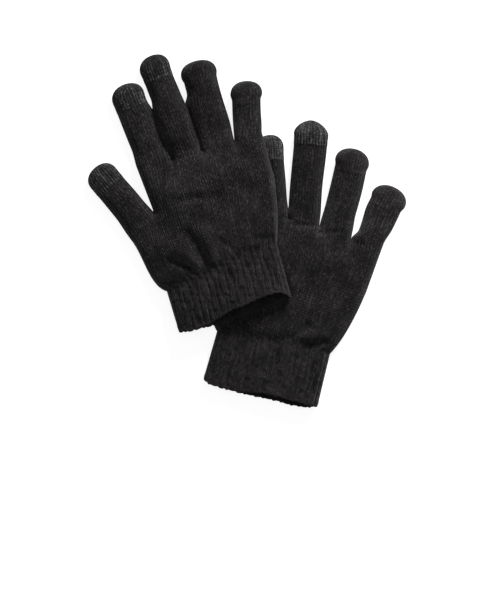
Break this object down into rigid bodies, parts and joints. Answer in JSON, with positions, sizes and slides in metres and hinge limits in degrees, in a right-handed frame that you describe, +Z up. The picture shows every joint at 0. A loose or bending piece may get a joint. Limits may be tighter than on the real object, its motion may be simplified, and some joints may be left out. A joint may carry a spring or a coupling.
{
  "type": "pair of touchscreen gloves",
  "caption": "Pair of black knit gloves with charcoal touchscreen tips on thumb, index and middle fingers, one glove laid over the other; fingers, thumbs and ribbed cuffs bend.",
  "frame": {"origin": "centre of the pair's outline, on the surface that the pair lies on", "axes": "+Y towards the fingertips, along the pair's longest side, +Z up from the surface, +X towards the lower glove's little finger"},
  "size_m": [0.2518, 0.2826, 0.0208],
  "materials": {
    "black_knit": "matte knit",
    "charcoal_touch_knit": "matte conductive knit",
    "hem_thread": "matte overlock",
    "elastic_yarn": "matte"
  },
  "bodies": {
    "right_hand": {"right_lower_palm": "black_knit", "right_upper_palm": "black_knit"},
    "right_cuff": {"right_cuff_hem": "hem_thread", "right_cuff_rib": "black_knit", "right_cuff_elastic": "elastic_yarn"},
    "left_hand": {"left_lower_palm": "black_knit", "left_upper_palm": "black_knit"},
    "left_cuff": {"left_cuff_hem": "hem_thread", "left_cuff_rib": "black_knit", "left_cuff_elastic": "elastic_yarn"},
    "left_thumb_finger": {"left_thumb_base": "black_knit"},
    "left_thumb_fingertip": {"left_thumb_end": "black_knit", "left_thumb_touch_tip": "charcoal_touch_knit"},
    "left_index_finger": {"left_index_base": "black_knit"},
    "left_index_fingertip": {"left_index_end": "black_knit", "left_index_touch_tip": "charcoal_touch_knit"},
    "left_middle_finger": {"left_middle_base": "black_knit"},
    "left_middle_fingertip": {"left_middle_end": "black_knit", "left_middle_touch_tip": "charcoal_touch_knit"},
    "left_ring_finger": {"left_ring_base": "black_knit"},
    "left_ring_fingertip": {"left_ring_end": "black_knit", "left_ring_tip": "black_knit"},
    "left_little_finger": {"left_little_base": "black_knit"},
    "left_little_fingertip": {"left_little_end": "black_knit", "left_little_tip": "black_knit"},
    "right_thumb_finger": {"right_thumb_base": "black_knit", "right_thumb_end": "black_knit", "right_thumb_touch_tip": "charcoal_touch_knit"},
    "right_index_finger": {"right_index_base": "black_knit", "right_index_end": "black_knit", "right_index_touch_tip": "charcoal_touch_knit"},
    "right_middle_finger": {"right_middle_base": "black_knit"},
    "right_middle_fingertip": {"right_middle_end": "black_knit", "right_middle_touch_tip": "charcoal_touch_knit"},
    "right_ring_finger": {"right_ring_base": "black_knit"},
    "right_ring_fingertip": {"right_ring_end": "black_knit", "right_ring_tip": "black_knit"},
    "right_little_finger": {"right_little_base": "black_knit"},
    "right_little_fingertip": {"right_little_end": "black_knit", "right_little_tip": "black_knit"}
  },
  "joints": [
    {"name": "left_glove_lift", "type": "slide", "parent": "right_hand", "child": "left_hand", "axis": [0, 0, 1], "range_m": [0, 0.08]},
    {"name": "left_wrist_fold", "type": "hinge", "parent": "left_hand", "child": "left_cuff", "pos_m": [-0.01879, -0.02862, 0.02035], "axis": [-0.9144, -0.4047, 0], "range_deg": [0, 70]},
    {"name": "left_thumb_knuckle", "type": "hinge", "parent": "left_hand", "child": "left_thumb_finger", "pos_m": [-0.08265, 0.00402, 0.00985], "axis": [0.6223, 0.7828, 0], "range_deg": [0, 60]},
    {"name": "left_thumb_bend", "type": "hinge", "parent": "left_thumb_finger", "child": "left_thumb_fingertip", "pos_m": [-0.1, 0.02581, 0.00955], "axis": [0.7815, 0.6239, 0], "range_deg": [0, 75]},
    {"name": "left_index_knuckle", "type": "hinge", "parent": "left_hand", "child": "left_index_finger", "pos_m": [-0.07286, 0.05434, 0.00955], "axis": [0.9613, 0.2756, 0], "range_deg": [0, 80]},
    {"name": "left_index_bend", "type": "hinge", "parent": "left_index_finger", "child": "left_index_fingertip", "pos_m": [-0.08518, 0.0848, 0.00955], "axis": [0.9272, 0.3746, 0], "range_deg": [0, 85]},
    {"name": "left_middle_knuckle", "type": "hinge", "parent": "left_hand", "child": "left_middle_finger", "pos_m": [-0.04709, 0.06173, 0.01222], "axis": [0.9613, 0.2756, 0], "range_deg": [0, 80]},
    {"name": "left_middle_bend", "type": "hinge", "parent": "left_middle_finger", "child": "left_middle_fingertip", "pos_m": [-0.06197, 0.10085, 0.00955], "axis": [0.9348, 0.3551, 0], "range_deg": [0, 85]},
    {"name": "left_ring_knuckle", "type": "hinge", "parent": "left_hand", "child": "left_ring_finger", "pos_m": [-0.02215, 0.06888, 0.018], "axis": [0.9613, 0.2756, 0], "range_deg": [0, 80]},
    {"name": "left_ring_bend", "type": "hinge", "parent": "left_ring_finger", "child": "left_ring_fingertip", "pos_m": [-0.03102, 0.10155, 0.00955], "axis": [0.965, 0.2622, 0], "range_deg": [0, 85]},
    {"name": "left_little_knuckle", "type": "hinge", "parent": "left_hand", "child": "left_little_finger", "pos_m": [0.00159, 0.07569, 0.01985], "axis": [0.9613, 0.2756, 0], "range_deg": [0, 80]},
    {"name": "left_little_bend", "type": "hinge", "parent": "left_little_finger", "child": "left_little_fingertip", "pos_m": [0.00045, 0.09551, 0.01824], "axis": [0.9982, 0.0593, 0], "range_deg": [0, 85]},
    {"name": "right_wrist_fold", "type": "hinge", "parent": "right_hand", "child": "right_cuff", "pos_m": [0.02335, -0.08946, 0.01005], "axis": [-0.981, 0.194, 0], "range_deg": [0, 70]},
    {"name": "right_thumb_swing", "type": "hinge", "parent": "right_hand", "child": "right_thumb_finger", "pos_m": [-0.00065, -0.02183, 0.00475], "axis": [0, 0, -1], "range_deg": [0, 10]},
    {"name": "right_index_swing", "type": "hinge", "parent": "right_hand", "child": "right_index_finger", "pos_m": [0.01006, 0.01778, 0.00475], "axis": [0, 0, 1], "range_deg": [0, 4]},
    {"name": "right_middle_knuckle", "type": "hinge", "parent": "right_hand", "child": "right_middle_finger", "pos_m": [0.04705, 0.00787, 0.00955], "axis": [0.9659, -0.2588, 0], "range_deg": [0, 80]},
    {"name": "right_middle_bend", "type": "hinge", "parent": "right_middle_finger", "child": "right_middle_fingertip", "pos_m": [0.05067, 0.04957, 0.00955], "axis": [0.9962, -0.0872, 0], "range_deg": [0, 85]},
    {"name": "right_ring_knuckle", "type": "hinge", "parent": "right_hand", "child": "right_ring_finger", "pos_m": [0.07226, 0.00112, 0.00955], "axis": [0.9659, -0.2588, 0], "range_deg": [0, 80]},
    {"name": "right_ring_bend", "type": "hinge", "parent": "right_ring_finger", "child": "right_ring_fingertip", "pos_m": [0.08016, 0.03403, 0.00955], "axis": [0.9724, -0.2334, 0], "range_deg": [0, 85]},
    {"name": "right_little_knuckle", "type": "hinge", "parent": "right_hand", "child": "right_little_finger", "pos_m": [0.09767, -0.00569, 0.00955], "axis": [0.9659, -0.2588, 0], "range_deg": [0, 80]},
    {"name": "right_little_bend", "type": "hinge", "parent": "right_little_finger", "child": "right_little_fingertip", "pos_m": [0.10592, 0.01236, 0.00955], "axis": [0.91, -0.4147, 0], "range_deg": [0, 85]}
  ]
}
